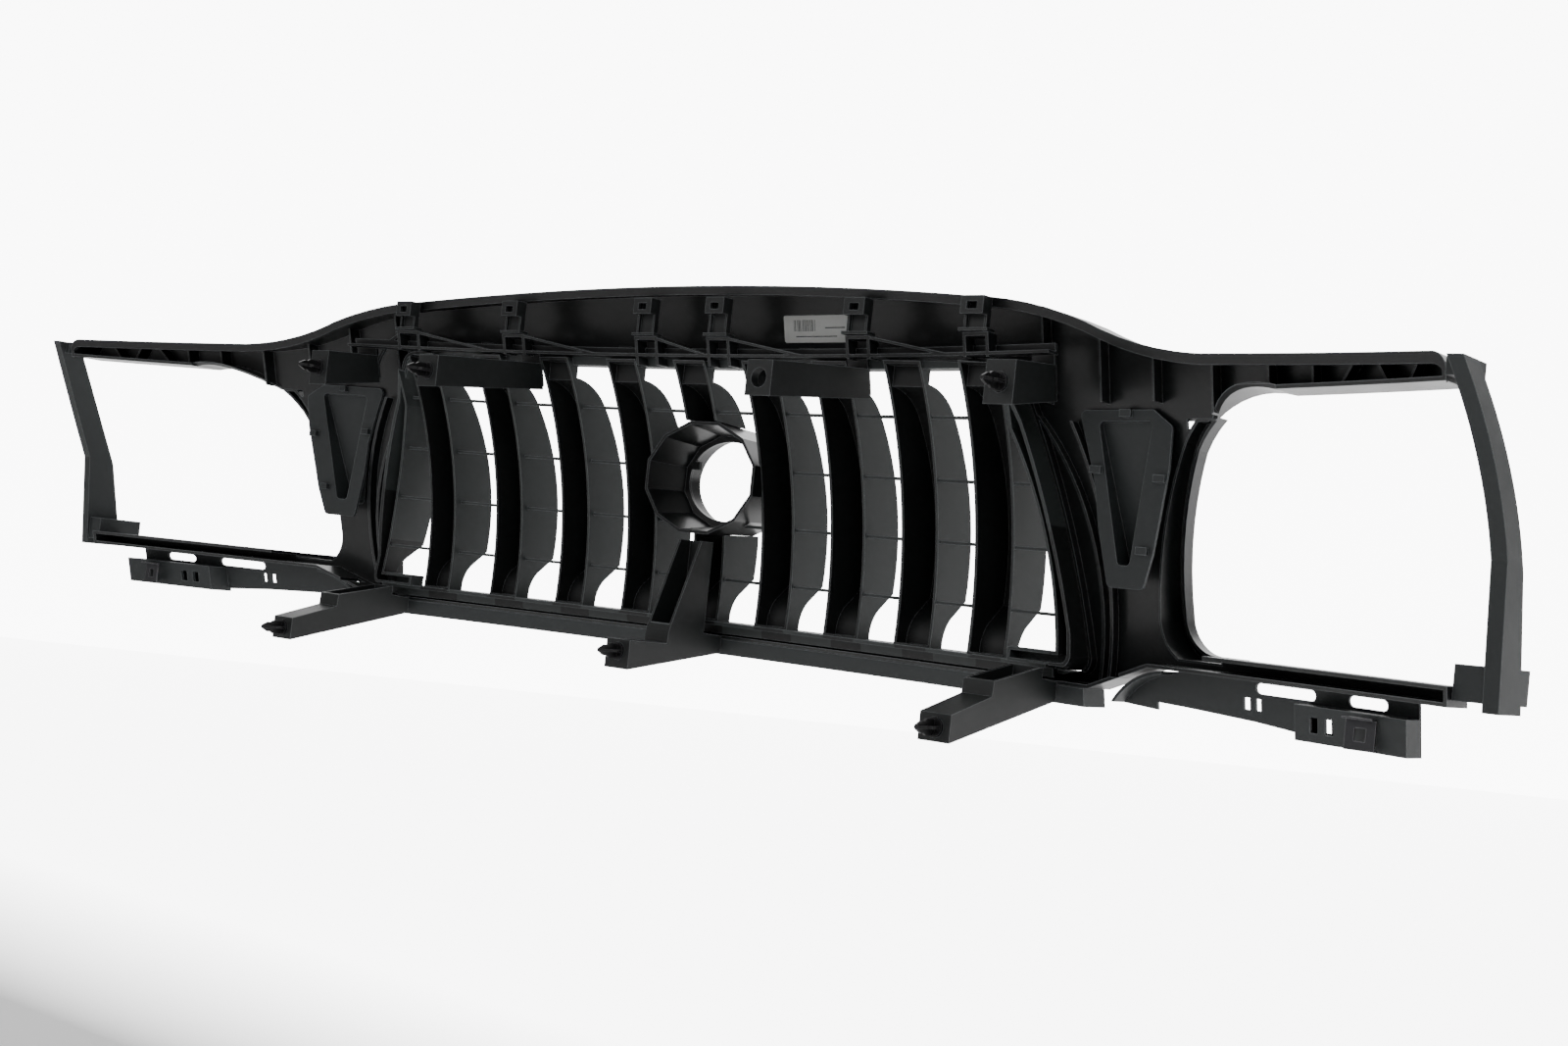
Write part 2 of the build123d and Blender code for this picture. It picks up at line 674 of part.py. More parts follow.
# Spring clips behind the rear wall of each bracket box
with BuildPart() as spring_clip_left:
    y = face_y(724, LOW_Z - 14.6) + BRACKET_D + GAP
    block(702, 724, y, y + 1.4, LOW_Z - 36, LOW_Z - 16)
    block(702, 724, y - 4, y + 1.4, LOW_Z - 37.4, LOW_Z - 36)
    block(702, 724, y, y + 9, LOW_Z - 16, LOW_Z - 14.6)
    block(709, 717, y - 1, y + 3, LOW_Z - 31, LOW_Z - 22, mode=Mode.SUBTRACT)
spring_clip_left.part.label = "spring_clip_left"
export_step(spring_clip_left.part, "parts/spring_clip_left.step")

with BuildPart() as spring_clip_right:
    add(mirror(spring_clip_left.part, about=Plane.YZ, mode=Mode.PRIVATE))
spring_clip_right.part.label = "spring_clip_right"
export_step(spring_clip_right.part, "parts/spring_clip_right.step")

# Upper carrier: a thin shelf behind the crest with a boxed pair of ribs under each hook
with BuildPart() as upper_bar:
    block(-UP_BAR_X, UP_BAR_X, -40, 220, UP_BAR_Z, UP_BAR_Z + 9)
    slab(RAIL_D + GAP, RAIL_D + GAP + PLATE_T)
with BuildPart() as upper_shelf:
    block(-UP_BAR_X, UP_BAR_X, -40, 220, UP_BAR_Z, UP_BAR_Z + 2.5)
    slab(RAIL_D + GAP, RAIL_D + GAP + SHELF_D)
with BuildPart() as upper_ribs:
    for x in HOOKS:
        low = UP_BAR_Z - (8 if abs(x) < 100 else 1.5)
        for dx in (-14, 11):
            block(x + dx, x + dx + 3, -40, 220, low, UP_BAR_Z + 18)
        block(x - 14, x + 14, -40, 220, UP_BAR_Z + 15, UP_BAR_Z + 18)
    slab(RAIL_D + GAP, RAIL_D + GAP + SHELF_D)
with BuildSketch() as gusset_line:
    for outer, x in zip(HOOKS, HOOKS[1:]):
        end = x - 14 - min(GUSSET_RUN, x - outer - 30)
        with BuildLine():
            Polyline(
                (x - 12, UP_BAR_Z + 17.5), (end, UP_BAR_Z + 2.4), (end, UP_BAR_Z + 0.4),
                (x - 12, UP_BAR_Z + 15.1), close=True,
            )
        make_face()
with BuildPart() as upper_gussets:
    push(gusset_line.sketch)
    slab(RAIL_D + GAP, RAIL_D + GAP + SHELF_D)
with BuildPart() as upper_plates:
    for x in (-UP_OUT_X, -UP_IN_X, UP_IN_X, UP_OUT_X):
        block(x - 12, x + 12, -40, 260, UP_BAR_Z - 30, UP_BAR_Z + 1)
    slab(RAIL_D + GAP, RAIL_D + GAP + PLATE_T)
with BuildSketch() as strap_line:
    with BuildLine():
        for s in (1, -1):
            x = HOOKS[-1]
            z = UP_BAR_Z
            a = ThreePointArc((s * (x + 12), z + 18), (s * (x + 35), z + 9), (s * (x + 53), z - 12))
            b = ThreePointArc((s * (x + 12), z + 15), (s * (x + 33), z + 6.5), (s * (x + 53), z - 18))
            Line(a @ 0, b @ 0)
            Line(a @ 1, b @ 1)
    make_face()
with BuildPart() as upper_straps:
    push(strap_line.sketch)
    slab(RAIL_D + GAP, RAIL_D + GAP + PLATE_T)
with BuildPart() as upper_carrier:
    for piece in (upper_bar, upper_shelf, upper_ribs, upper_gussets, upper_plates, upper_straps):
        add(piece.part)
upper_carrier.part.label = "upper_carrier"
export_step(upper_carrier.part, "parts/upper_carrier.step")


# Hook brackets standing on the carrier shelf
def hook(x):
    z0 = UP_BAR_Z + 18 + GAP
    z1 = z0 + HOOK_H - 0.022 * abs(x)
    y = face_y(abs(x) + HOOK_W / 2, z1) + RAIL_D + GAP - 4
    half = HOOK_W / 2
    block(x - half, x + half, y + 4, y + 7, z0, z1)
    block(x - half, x + half, y + 4, y + 17, z1 - 3, z1)
    block(x - half, x + half, y + 14.5, y + 17, z1 - 15, z1)
    for dx in (-half, half - 2.4):
        block(x + dx, x + dx + 2.4, y + 4, y + 17, z1 - 15, z1)
        block(x + dx, x + dx + 2.4, y + 4, y + 10, z0, z1)
    block(x - half - 3, x + half + 3, y + 1, y + 13, z0, z0 + 2.6)
    block(x - 5, x + 5, y + 14, y + 18, z1 - 11, z1 - 5, mode=Mode.SUBTRACT)


with BuildPart() as hook_bracket_1:
    hook(HOOKS[0])
hook_bracket_1.part.label = "hook_bracket_1"
export_step(hook_bracket_1.part, "parts/hook_bracket_1.step")
with BuildPart() as hook_bracket_2:
    hook(HOOKS[1])
hook_bracket_2.part.label = "hook_bracket_2"
export_step(hook_bracket_2.part, "parts/hook_bracket_2.step")
with BuildPart() as hook_bracket_3:
    hook(HOOKS[2])
hook_bracket_3.part.label = "hook_bracket_3"
export_step(hook_bracket_3.part, "parts/hook_bracket_3.step")
with BuildPart() as hook_bracket_4:
    hook(HOOKS[3])
hook_bracket_4.part.label = "hook_bracket_4"
export_step(hook_bracket_4.part, "parts/hook_bracket_4.step")
with BuildPart() as hook_bracket_5:
    hook(HOOKS[4])
hook_bracket_5.part.label = "hook_bracket_5"
export_step(hook_bracket_5.part, "parts/hook_bracket_5.step")
with BuildPart() as hook_bracket_6:
    hook(HOOKS[5])
hook_bracket_6.part.label = "hook_bracket_6"
export_step(hook_bracket_6.part, "parts/hook_bracket_6.step")


# Upper arms: hollow tapered boxes open underneath, with a socketed end plate
UPPER_ARMS = [
    (-UP_OUT_X, UP_OUT_Y, 62, 97), (-UP_IN_X, UP_IN_Y, 59, 89),
    (UP_IN_X, UP_IN_Y, 59, 89), (UP_OUT_X, UP_OUT_Y, 62, 97),
]
ARM_LOW = UP_BAR_Z - 29
ARM_HIGH = UP_BAR_Z - 4
ARM_ROOT = RAIL_D + 2 * GAP + PLATE_T


def upper_arm_hollow(x, tip_y, tip_low, tip_high):
    y = face_y(x, ARM_LOW)
    half = ARM_W / 2 - ARM_T
    end = tip_y - PLATE_T
    outline = [(y, ARM_LOW - 9), (y, ARM_HIGH - 2.5), (end, tip_high - 2.5), (end, tip_low - 9)]
    with BuildPart() as hollow:
        slice_x(outline, x - half, x + half)
        slab(ARM_ROOT + 2.5, 400)
    return hollow.part


def upper_arm(x, tip_y, tip_low, tip_high, hollow):
    y = face_y(x, ARM_LOW)
    outline = [(y, ARM_LOW), (y, ARM_HIGH), (tip_y, tip_high), (tip_y, tip_low)]
    slice_x(outline, x - ARM_W / 2, x + ARM_W / 2)
    slab(ARM_ROOT, 400)
    add(hollow, mode=Mode.SUBTRACT)
    z = (tip_low + tip_high) / 2
    rod(x, z, tip_y - SOCKET_L, tip_y, SOCKET_R + 2.2)
    rod(x, z, tip_y - SOCKET_L - 1, tip_y + 1, SOCKET_R, mode=Mode.SUBTRACT)


arm_hollows = [upper_arm_hollow(*tip) for tip in UPPER_ARMS]
with BuildPart() as upper_arm_1:
    upper_arm(*UPPER_ARMS[0], arm_hollows[0])
upper_arm_1.part.label = "upper_arm_1"
export_step(upper_arm_1.part, "parts/upper_arm_1.step")
with BuildPart() as upper_arm_2:
    upper_arm(*UPPER_ARMS[1], arm_hollows[1])
upper_arm_2.part.label = "upper_arm_2"
export_step(upper_arm_2.part, "parts/upper_arm_2.step")
with BuildPart() as upper_arm_3:
    upper_arm(*UPPER_ARMS[2], arm_hollows[2])
upper_arm_3.part.label = "upper_arm_3"
export_step(upper_arm_3.part, "parts/upper_arm_3.step")
with BuildPart() as upper_arm_4:
    upper_arm(*UPPER_ARMS[3], arm_hollows[3])
upper_arm_4.part.label = "upper_arm_4"
export_step(upper_arm_4.part, "parts/upper_arm_4.step")

# Lower carrier: a shallow channel under the sill, open underneath
with BuildPart() as lower_bar:
    block(-LOW_BAR_X, LOW_BAR_X, -80, 200, SILL_Z - GAP - LOW_BAR_H, SILL_Z - GAP)
    slab(3, RAIL_D)
with BuildPart() as lower_hollow:
    block(-LOW_BAR_X + 3, LOW_BAR_X - 3, -80, 200, SILL_Z - GAP - LOW_BAR_H - 1, SILL_Z - GAP - 2.5)
    slab(6, RAIL_D - 3)
with BuildPart() as lower_carrier:
    add(lower_bar.part)
    add(lower_hollow.part, mode=Mode.SUBTRACT)
    for i in range(-4, 5):
        x = i * 96
        y = face_y(x, SILL_Z - 8)
        block(x - 1.2, x + 1.2, y + 4, y + RAIL_D - 6, SILL_Z - GAP - LOW_BAR_H + 1, SILL_Z - GAP - 1)
lower_carrier.part.label = "lower_carrier"
export_step(lower_carrier.part, "parts/lower_carrier.step")


# Lower arms: tapered channels open on top, boxed at the rear end
def lower_arm(x, tip_y, tip_low, tip_high, shoulder_y, shoulder_z, crown_y, crown_z, front=0):
    root = face_y(abs(x) + ARM_W / 2, SILL_Z) + RAIL_D + 2.0
    half = ARM_W / 2 + 1
    foot = SILL_Z - 14
    outline = [
        (root, foot), (root, SILL_Z + 2), (max(root, front), SILL_Z + 4), (max(root, front), crown_z),
        (crown_y, crown_z), (shoulder_y, shoulder_z),
        (shoulder_y + 1, shoulder_z - 12), (tip_y, tip_high), (tip_y, tip_low),
    ]
    slice_x(outline, x - half, x + half)
    inner = [
        (root + 2.5, foot + 3), (root + 2.5, SILL_Z), (max(root, front) + 2.5, SILL_Z + 2),
        (max(root, front) + 2.5, crown_z + 30), (shoulder_y - 2.5, crown_z + 30),
        (shoulder_y - 2.5, shoulder_z - 14),
        (tip_y - PLATE_T, tip_high - 2.5), (tip_y - PLATE_T, tip_low + 3),
    ]
    slice_x(inner, x - half + ARM_T, x + half - ARM_T, mode=Mode.SUBTRACT)
    z = CLIP_Z[x]
    rod(x, z, tip_y - SOCKET_L, tip_y, SOCKET_R + 1.6)
    rod(x, z, tip_y - SOCKET_L - 1, tip_y + 1, SOCKET_R, mode=Mode.SUBTRACT)


with BuildPart() as lower_arm_1:
    lower_arm(-LOW_ARM_X, LOW_ARM_Y, -199, -177, 163, -150, 95, -137, front=93)
lower_arm_1.part.label = "lower_arm_1"
export_step(lower_arm_1.part, "parts/lower_arm_1.step")
with BuildPart() as lower_arm_2:
    lower_arm(0, -AXIS_Y, -AXIS_Z - 4, -AXIS_Z + 23, 99, -146, 66, -60, front=50)
lower_arm_2.part.label = "lower_arm_2"
export_step(lower_arm_2.part, "parts/lower_arm_2.step")
with BuildPart() as lower_arm_3:
    lower_arm(LOW_ARM_X, LOW_ARM_Y, -199, -177, 163, -150, 95, -137, front=93)
lower_arm_3.part.label = "lower_arm_3"
export_step(lower_arm_3.part, "parts/lower_arm_3.step")


# Push-in retainers: a collar in the socket and crossed fins to a point
def retainer(x, y, z):
    rod(x, z, y - SOCKET_L + 1.5, y + 1.8, SOCKET_R - CLIP_GAP)
    spread = [(-5.5, 0), (-6.5, 5), (-6.5, 12), (-4.5, 15), (-5, 18), (-1.5, CLIP_LEN)]
    fin_line = spread + [(-a, b) for a, b in reversed(spread)]
    for across, normal in (((1, 0, 0), (0, 0, 1)), ((0, 0, 1), (-1, 0, 0))):
        with BuildSketch(Plane(origin=(x, AXIS_Y + y, AXIS_Z + z), x_dir=across, z_dir=normal)) as fin:
            with BuildLine():
                Polyline(*fin_line, close=True)
            make_face()
        extrude(fin.sketch, amount=1.1, both=True)


with BuildPart() as retainer_clips:
    retainer(UP_OUT_X, UP_OUT_Y, 79.5)
    retainer(-UP_OUT_X, UP_OUT_Y, 79.5)
    retainer(UP_IN_X, UP_IN_Y, 74)
    retainer(LOW_ARM_X, LOW_ARM_Y, CLIP_Z[LOW_ARM_X])
    retainer(-LOW_ARM_X, LOW_ARM_Y, CLIP_Z[-LOW_ARM_X])
    retainer(0, -AXIS_Y, CLIP_Z[0])
retainer_clips.part.label = "retainer_clips"
export_step(retainer_clips.part, "parts/retainer_clips.step")

# Part label stuck in the crest recess
with BuildSketch() as label_line:
    with Locations((-130, 141)):
        RectangleRounded(84, 24, 2)
with BuildPart() as part_label:
    push(label_line.sketch)
    slab(SKIN + 0.05, SKIN + 0.45)
part_label.part.label = "part_label"
export_step(part_label.part, "parts/part_label.step")
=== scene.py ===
import bpy
import bmesh
from mathutils import Matrix, Vector


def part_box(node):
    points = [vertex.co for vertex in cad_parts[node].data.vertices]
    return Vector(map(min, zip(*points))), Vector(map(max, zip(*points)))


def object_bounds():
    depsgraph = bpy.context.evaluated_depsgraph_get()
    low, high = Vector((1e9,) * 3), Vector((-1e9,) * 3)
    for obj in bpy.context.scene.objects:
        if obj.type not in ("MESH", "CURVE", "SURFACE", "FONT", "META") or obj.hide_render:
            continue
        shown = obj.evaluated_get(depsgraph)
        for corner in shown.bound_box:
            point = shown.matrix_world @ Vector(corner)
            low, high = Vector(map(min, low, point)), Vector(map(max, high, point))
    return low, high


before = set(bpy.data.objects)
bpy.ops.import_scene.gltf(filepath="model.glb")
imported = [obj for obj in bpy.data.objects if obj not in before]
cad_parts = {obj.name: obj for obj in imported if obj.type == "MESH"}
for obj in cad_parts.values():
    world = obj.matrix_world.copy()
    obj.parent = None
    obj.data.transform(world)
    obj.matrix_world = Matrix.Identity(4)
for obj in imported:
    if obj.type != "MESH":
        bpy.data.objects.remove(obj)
cad_low, cad_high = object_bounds()

# Slats of the grille insert, in metres
SLAT_PITCH = 0.086
SLAT_HOLLOW_HALF = 0.0182  # half width of a slat's hollow, to the middle of its walls

# Edge wear and a painted highlight along the edges of every moulding
EDGE_WIDTH = 0.0014
EDGE_GAIN = 7.0


# ---------------------------------------------------------------- shader building blocks
def new_group(name, inputs, outputs):
    group = bpy.data.node_groups.new(name, "ShaderNodeTree")
    for label, kind, value in inputs:
        socket = group.interface.new_socket(label, in_out="INPUT", socket_type=kind)
        socket.default_value = value
    for label, kind in outputs:
        group.interface.new_socket(label, in_out="OUTPUT", socket_type=kind)
    return group, group.nodes.new("NodeGroupInput"), group.nodes.new("NodeGroupOutput")


def add_node(tree, kind, **values):
    node = tree.nodes.new(kind)
    for key, value in values.items():
        if hasattr(node, key):
            setattr(node, key, value)
        else:
            node.inputs[key.replace("_", " ")].default_value = value
    return node


def object_position(tree):
    return add_node(tree, "ShaderNodeTexCoord").outputs["Object"]


def build_mould_grain():
    """Fine spark-eroded grain of a moulded face, with a slow waviness."""
    group, gin, gout = new_group(
        "Mould grain",
        [("Size", "NodeSocketFloat", 900.0), ("Waviness", "NodeSocketFloat", 0.3)],
        [("Height", "NodeSocketFloat"), ("Cloud", "NodeSocketFloat")],
    )
    link = group.links.new
    place = object_position(group)
    fine = add_node(group, "ShaderNodeTexNoise", Detail=3.0, Roughness=0.6)
    slow = add_node(group, "ShaderNodeTexNoise", Scale=22.0, Detail=4.0, Roughness=0.55)
    both = add_node(group, "ShaderNodeMath", operation="MULTIPLY_ADD")
    link(place, fine.inputs["Vector"])
    link(place, slow.inputs["Vector"])
    link(gin.outputs["Size"], fine.inputs["Scale"])
    link(slow.outputs["Fac"], both.inputs[0])
    link(gin.outputs["Waviness"], both.inputs[1])
    link(fine.outputs["Fac"], both.inputs[2])
    link(both.outputs[0], gout.inputs["Height"])
    link(slow.outputs["Fac"], gout.inputs["Cloud"])
    return group


def build_edge_wear_and_highlight():
    """Mask that is bright on sharp corners, broken up so that it isn't even: scuffed edges plus a painted
    edge highlight.
    """
    group, gin, gout = new_group(
        "Edge wear",
        [("Width", "NodeSocketFloat", 0.0015), ("Strength", "NodeSocketFloat", 3.0)],
        [("Mask", "NodeSocketFloat")],
    )
    link = group.links.new
    bevel = add_node(group, "ShaderNodeBevel", samples=4)
    plain = add_node(group, "ShaderNodeNewGeometry")
    dot = add_node(group, "ShaderNodeVectorMath", operation="DOT_PRODUCT")
    turn = add_node(group, "ShaderNodeMath", operation="SUBTRACT")
    turn.inputs[0].default_value = 1.0
    scale = add_node(group, "ShaderNodeMath", operation="MULTIPLY")
    broken = add_node(group, "ShaderNodeTexNoise", Scale=60.0, Detail=3.0)
    lift = add_node(group, "ShaderNodeMapRange")
    lift.inputs["From Min"].default_value, lift.inputs["From Max"].default_value = 0.3, 0.65
    lift.inputs["To Min"].default_value = 0.45
    mask = add_node(group, "ShaderNodeMath", operation="MULTIPLY", use_clamp=True)
    link(gin.outputs["Width"], bevel.inputs["Radius"])
    link(bevel.outputs["Normal"], dot.inputs[0])
    link(plain.outputs["Normal"], dot.inputs[1])
    link(dot.outputs["Value"], turn.inputs[1])
    link(turn.outputs[0], scale.inputs[0])
    link(gin.outputs["Strength"], scale.inputs[1])
    link(object_position(group), broken.inputs["Vector"])
    link(broken.outputs["Fac"], lift.inputs["Value"])
    link(scale.outputs[0], mask.inputs[0])
    link(lift.outputs["Result"], mask.inputs[1])
    link(mask.outputs[0], gout.inputs["Mask"])
    return group


def build_handling_dust():
    """Pale dust that settles on faces turned upward, with faint smears."""
    group, gin, gout = new_group(
        "Handling dust",
        [("Amount", "NodeSocketFloat", 0.25)],
        [("Mask", "NodeSocketFloat")],
    )
    link = group.links.new
    plain = add_node(group, "ShaderNodeNewGeometry")
    parts = add_node(group, "ShaderNodeSeparateXYZ")
    up = add_node(group, "ShaderNodeMapRange")
    up.inputs["From Min"].default_value = 0.2
    smear = add_node(group, "ShaderNodeTexNoise", Scale=14.0, Detail=6.0, Roughness=0.7)
    patch = add_node(group, "ShaderNodeMapRange")
    patch.inputs["From Min"].default_value, patch.inputs["From Max"].default_value = 0.42, 0.7
    top = add_node(group, "ShaderNodeMath", operation="ADD")
    both = add_node(group, "ShaderNodeMath", operation="MULTIPLY")
    much = add_node(group, "ShaderNodeMath", operation="MULTIPLY", use_clamp=True)
    link(plain.outputs["Normal"], parts.inputs[0])
    link(parts.outputs["Z"], up.inputs["Value"])
    link(object_position(group), smear.inputs["Vector"])
    link(smear.outputs["Fac"], patch.inputs["Value"])
    link(up.outputs["Result"], top.inputs[0])
    top.inputs[1].default_value = 0.25
    link(top.outputs[0], both.inputs[0])
    link(patch.outputs["Result"], both.inputs[1])
    link(both.outputs[0], much.inputs[0])
    link(gin.outputs["Amount"], much.inputs[1])
    link(much.outputs[0], gout.inputs["Mask"])
    return group


def build_slat_hollow_shade(pitch, half_width):
    """Painted shade: mask of the space inside the evenly pitched slats, and of their visible faces, where
    the hollows are darkened to stand for their shadow.
    """
    group, gin, gout = new_group(
        "Slat hollow shade",
        [("Depth", "NodeSocketFloat", 1.0)],
        [("Mask", "NodeSocketFloat")],
    )
    link = group.links.new
    parts = add_node(group, "ShaderNodeSeparateXYZ")
    wrap = add_node(group, "ShaderNodeMath", operation="WRAP")
    wrap.inputs[1].default_value, wrap.inputs[2].default_value = pitch / 2, -pitch / 2
    size = add_node(group, "ShaderNodeMath", operation="ABSOLUTE")
    inside = add_node(group, "ShaderNodeMath", operation="LESS_THAN")
    inside.inputs[1].default_value = half_width
    much = add_node(group, "ShaderNodeMath", operation="MULTIPLY", use_clamp=True)
    link(object_position(group), parts.inputs[0])
    link(parts.outputs["X"], wrap.inputs[0])
    link(wrap.outputs[0], size.inputs[0])
    link(size.outputs[0], inside.inputs[0])
    link(inside.outputs[0], much.inputs[0])
    link(gin.outputs["Depth"], much.inputs[1])
    link(much.outputs[0], gout.inputs["Mask"])
    return group


def build_label_print():
    """Plain printed bars: a striped patch with two rules under it."""
    group, gin, gout = new_group(
        "Label print",
        [("Left", "NodeSocketFloat", 0.0), ("Low", "NodeSocketFloat", 0.0)],
        [("Mask", "NodeSocketFloat")],
    )
    link = group.links.new
    parts = add_node(group, "ShaderNodeSeparateXYZ")
    link(object_position(group), parts.inputs[0])

    def shifted(axis, start):
        node = add_node(group, "ShaderNodeMath", operation="SUBTRACT")
        link(parts.outputs[axis], node.inputs[0])
        link(gin.outputs[start], node.inputs[1])
        return node.outputs[0]

    def between(value, low, high):
        node = add_node(group, "ShaderNodeMath", operation="COMPARE")
        link(value, node.inputs[0])
        node.inputs[1].default_value, node.inputs[2].default_value = (low + high) / 2, (high - low) / 2
        return node.outputs[0]

    def combine(operation, first, second):
        node = add_node(group, "ShaderNodeMath", operation=operation, use_clamp=True)
        link(first, node.inputs[0])
        link(second, node.inputs[1])
        return node.outputs[0]

    x, z = shifted("X", "Left"), shifted("Z", "Low")
    stripes = add_node(group, "ShaderNodeTexNoise", Scale=1400.0, Detail=0.0)
    stripes.noise_dimensions = "1D"
    link(x, stripes.inputs["W"])
    dark = add_node(group, "ShaderNodeMath", operation="GREATER_THAN")
    dark.inputs[1].default_value = 0.52
    link(stripes.outputs["Fac"], dark.inputs[0])
    patch = combine("MULTIPLY", between(x, 0.046, 0.072), between(z, 0.010, 0.020))
    bars = combine("MULTIPLY", patch, dark.outputs[0])
    rule = combine("MULTIPLY", between(x, 0.020, 0.070), between(z, 0.0050, 0.0058))
    short_rule = combine("MULTIPLY", between(x, 0.010, 0.034), between(z, 0.0125, 0.0134))
    link(combine("ADD", combine("ADD", bars, rule), short_rule), gout.inputs["Mask"])
    return group


MOULD_GRAIN = build_mould_grain()
EDGE_WEAR_AND_HIGHLIGHT = build_edge_wear_and_highlight()
HANDLING_DUST = build_handling_dust()
SLAT_HOLLOW_SHADE = build_slat_hollow_shade(SLAT_PITCH, SLAT_HOLLOW_HALF)
LABEL_PRINT = build_label_print()


def place_group(tree, group, **values):
    node = tree.nodes.new("ShaderNodeGroup")
    node.node_tree = group
    for key, value in values.items():
        node.inputs[key].default_value = value
    return node


def mix_colour(tree, mask, under, over):
    node = tree.nodes.new("ShaderNodeMix")
    node.data_type = "RGBA"
    for socket, value in ((node.inputs["Factor"], mask), (node.inputs[6], under), (node.inputs[7], over)):
        if isinstance(value, bpy.types.NodeSocket):
            tree.links.new(value, socket)
        else:
            socket.default_value = value if isinstance(value, float) else (*value, 1.0)
    return node.outputs[2]


def moulded_plastic(
    name, colour, edge_wear_and_highlight_colour, rough, grain=900.0, bump=0.05, edge=0.5, dust=0.25, coat=0.0, hollow=None
):
    """Moulded plastic; hollow is the dark colour painted inside the slats as their shade."""
    material = bpy.data.materials.new(name)
    material.use_nodes = True
    tree = material.node_tree
    link = tree.links.new
    shader = tree.nodes["Principled BSDF"]
    texture = place_group(tree, MOULD_GRAIN, Size=grain)
    wear_and_highlight = place_group(tree, EDGE_WEAR_AND_HIGHLIGHT, Width=EDGE_WIDTH, Strength=edge * EDGE_GAIN)
    settled = place_group(tree, HANDLING_DUST, Amount=dust)
    darker = tuple(c * 0.8 for c in colour)
    tone = mix_colour(tree, texture.outputs["Cloud"], darker, tuple(c * 1.2 for c in colour))
    dusty = mix_colour(tree, settled.outputs["Mask"], tone, tuple(c * 2.4 for c in colour))
    # Painted shade: inside the slats' hollows the colour is darkened to the hollow colour where shadow
    # falls.
    if hollow:
        inside = place_group(tree, SLAT_HOLLOW_SHADE, Depth=0.9)
        dusty = mix_colour(tree, inside.outputs["Mask"], dusty, hollow)
    # Painted highlight: sharp edges take the light edge colour, which stands for both scuffing and the
    # light caught on the edges.
    edged = mix_colour(tree, wear_and_highlight.outputs["Mask"], dusty, edge_wear_and_highlight_colour)
    link(edged, shader.inputs["Base Color"])
    gloss = add_node(tree, "ShaderNodeMapRange")
    gloss.inputs["To Min"].default_value = rough - 0.07
    gloss.inputs["To Max"].default_value = rough + 0.1
    link(texture.outputs["Cloud"], gloss.inputs["Value"])
    link(gloss.outputs["Result"], shader.inputs["Roughness"])
    relief = add_node(tree, "ShaderNodeBump", Strength=bump, Distance=0.0004)
    link(texture.outputs["Height"], relief.inputs["Height"])
    link(relief.outputs["Normal"], shader.inputs["Normal"])
    shader.inputs["Coat Weight"].default_value = coat
    shader.inputs["Coat Roughness"].default_value = 0.15
    return material


def printed_paper(name, low):
    material = bpy.data.materials.new(name)
    material.use_nodes = True
    tree = material.node_tree
    shader = tree.nodes["Principled BSDF"]
    fibre = place_group(tree, MOULD_GRAIN, Size=1600.0)
    marks = place_group(tree, LABEL_PRINT, Left=low.x, Low=low.z)
    sheet = mix_colour(tree, fibre.outputs["Cloud"], (0.55, 0.56, 0.55), (0.72, 0.72, 0.70))
    inked = mix_colour(tree, marks.outputs["Mask"], sheet, (0.03, 0.03, 0.035))
    tree.links.new(inked, shader.inputs["Base Color"])
    relief = add_node(tree, "ShaderNodeBump", Strength=0.1, Distance=0.0002)
    tree.links.new(fibre.outputs["Height"], relief.inputs["Height"])
    tree.links.new(relief.outputs["Normal"], shader.inputs["Normal"])
    shader.inputs["Roughness"].default_value = 0.55
    return material


# Light edge colour: partly wear, partly a painted highlight of the light caught on edges.
EDGE_WEAR_AND_HIGHLIGHT_GREY = (0.17, 0.185, 0.19)
# Painted shade colour for the inside of the slats.
HOLLOW_SHADE_COLOUR = (0.0030, 0.0033, 0.0036)
BLACK = (0.0060, 0.0068, 0.0072)
SLATE = (0.030, 0.035, 0.035)
# The clip and steel edge colours are also wear plus a painted edge highlight.
NYLON, NYLON_WORN_AND_HIGHLIGHT = (0.005, 0.005, 0.0055), (0.06, 0.06, 0.065)
STEEL, STEEL_WORN_AND_HIGHLIGHT = (0.07, 0.07, 0.075), (0.3, 0.3, 0.31)
shell_plastic = moulded_plastic("Surround satin black", BLACK, EDGE_WEAR_AND_HIGHLIGHT_GREY, 0.34, coat=0.15, edge=0.6)
# Painted light and shade on the insert: the slats' outer sides keep the lighter slate as lit walls, and
# their hollows take the painted shade colour.
insert_plastic = moulded_plastic("Insert slate", SLATE, EDGE_WEAR_AND_HIGHLIGHT_GREY, 0.52, bump=0.08, hollow=HOLLOW_SHADE_COLOUR)
carrier_plastic = moulded_plastic("Carrier black", (0.0085, 0.0095, 0.0100), EDGE_WEAR_AND_HIGHLIGHT_GREY, 0.42, bump=0.08)
arm_plastic = moulded_plastic("Arm slate", (0.0120, 0.0138, 0.0140), EDGE_WEAR_AND_HIGHLIGHT_GREY, 0.46, bump=0.08)
plate_plastic = moulded_plastic("Plate slate", (0.024, 0.028, 0.029), EDGE_WEAR_AND_HIGHLIGHT_GREY, 0.5, bump=0.1)
cup_plastic = moulded_plastic("Cup gloss black", (0.0050, 0.0055, 0.0058), EDGE_WEAR_AND_HIGHLIGHT_GREY, 0.3, coat=0.2)
clip_nylon = moulded_plastic("Clip nylon", NYLON, NYLON_WORN_AND_HIGHLIGHT, 0.42, bump=0.04, dust=0.1)
spring_steel = moulded_plastic("Spring steel", STEEL, STEEL_WORN_AND_HIGHLIGHT, 0.36, grain=300.0, bump=0.03)
spring_steel.node_tree.nodes["Principled BSDF"].inputs["Metallic"].default_value = 0.9
